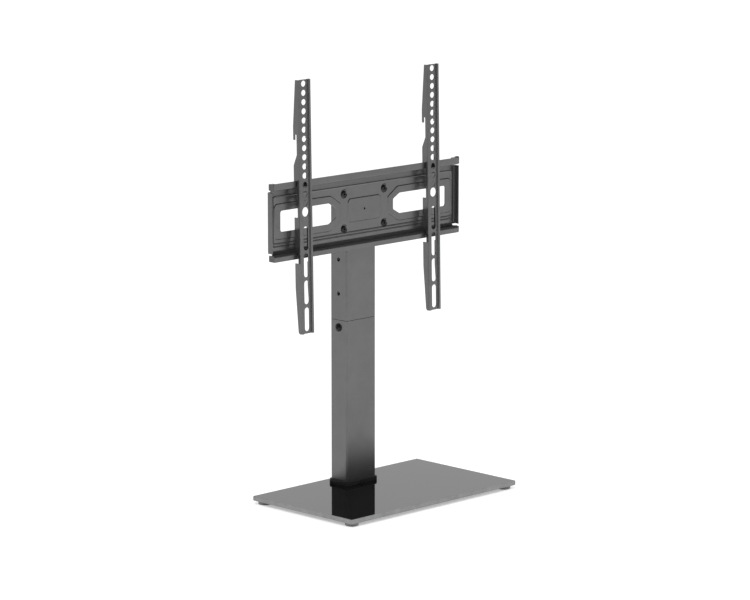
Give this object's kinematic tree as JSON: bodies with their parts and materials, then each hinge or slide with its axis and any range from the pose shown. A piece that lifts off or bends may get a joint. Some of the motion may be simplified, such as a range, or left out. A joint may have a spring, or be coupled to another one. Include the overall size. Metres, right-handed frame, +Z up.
{
  "type": "tv stand with mount",
  "caption": "Table-top TV stand: black glass base on rubber feet, height-adjustable rectangular steel column, pressed mount plate with hooked sliding arms.",
  "frame": {"origin": "on the floor under the centre of the glass base, which is also the middle of the overall width and depth", "axes": "+X along the rails to the right as seen from the front, +Y to the back, +Z up; the television hangs on the -Y side"},
  "size_m": [0.4486, 0.24, 0.7296],
  "materials": {
    "dark_metal": "satin dark grey powder coat with a metallic sheen",
    "black_glass": "polished opaque black tempered glass",
    "rubber": "matt black rubber",
    "black_plastic": "satin black moulded plastic",
    "dark_plastic": "satin dark grey moulded plastic",
    "black_steel": "glossy black oxide",
    "zinc_steel": "bright zinc plate"
  },
  "bodies": {
    "base": {"glass_base": "black_glass", "foot_front_left": "rubber", "foot_front_right": "rubber", "foot_back_left": "rubber", "foot_back_right": "rubber", "base_plate": "dark_metal", "lower_gasket": "rubber", "upper_gasket": "rubber", "glass_bushes": "black_plastic", "base_bolts": "zinc_steel", "base_washers": "zinc_steel", "column_foot_plate": "dark_metal", "foot_collar": "black_plastic", "lower_column": "dark_metal", "inner_mast": "dark_metal", "mast_nuts": "zinc_steel", "height_screw_left": "black_steel", "height_screw_right": "black_steel", "height_washer_left": "black_steel", "height_washer_right": "black_steel"},
    "head": {"upper_column": "dark_metal", "column_cap": "black_plastic", "head_bracket": "dark_metal", "mount_plate": "dark_metal", "plate_bolts": "black_steel", "plate_washers": "zinc_steel", "plate_nuts": "zinc_steel", "rail_cap_top_left": "dark_plastic", "rail_cap_top_right": "dark_plastic", "rail_cap_bottom_left": "dark_plastic", "rail_cap_bottom_right": "dark_plastic"},
    "left_arm": {"left_arm": "dark_metal", "left_arm_catch": "black_plastic"},
    "right_arm": {"right_arm": "dark_metal", "right_arm_catch": "black_plastic"}
  },
  "joints": [
    {"name": "height_slide", "type": "slide", "parent": "base", "child": "head", "axis": [0, 0, 1], "range_m": [0, 0.118]},
    {"name": "left_arm_slide", "type": "slide", "parent": "head", "child": "left_arm", "axis": [1, 0, 0], "range_m": [-0.043, 0.105]},
    {"name": "right_arm_slide", "type": "slide", "parent": "head", "child": "right_arm", "axis": [1, 0, 0], "range_m": [-0.1015, 0.0465]}
  ]
}
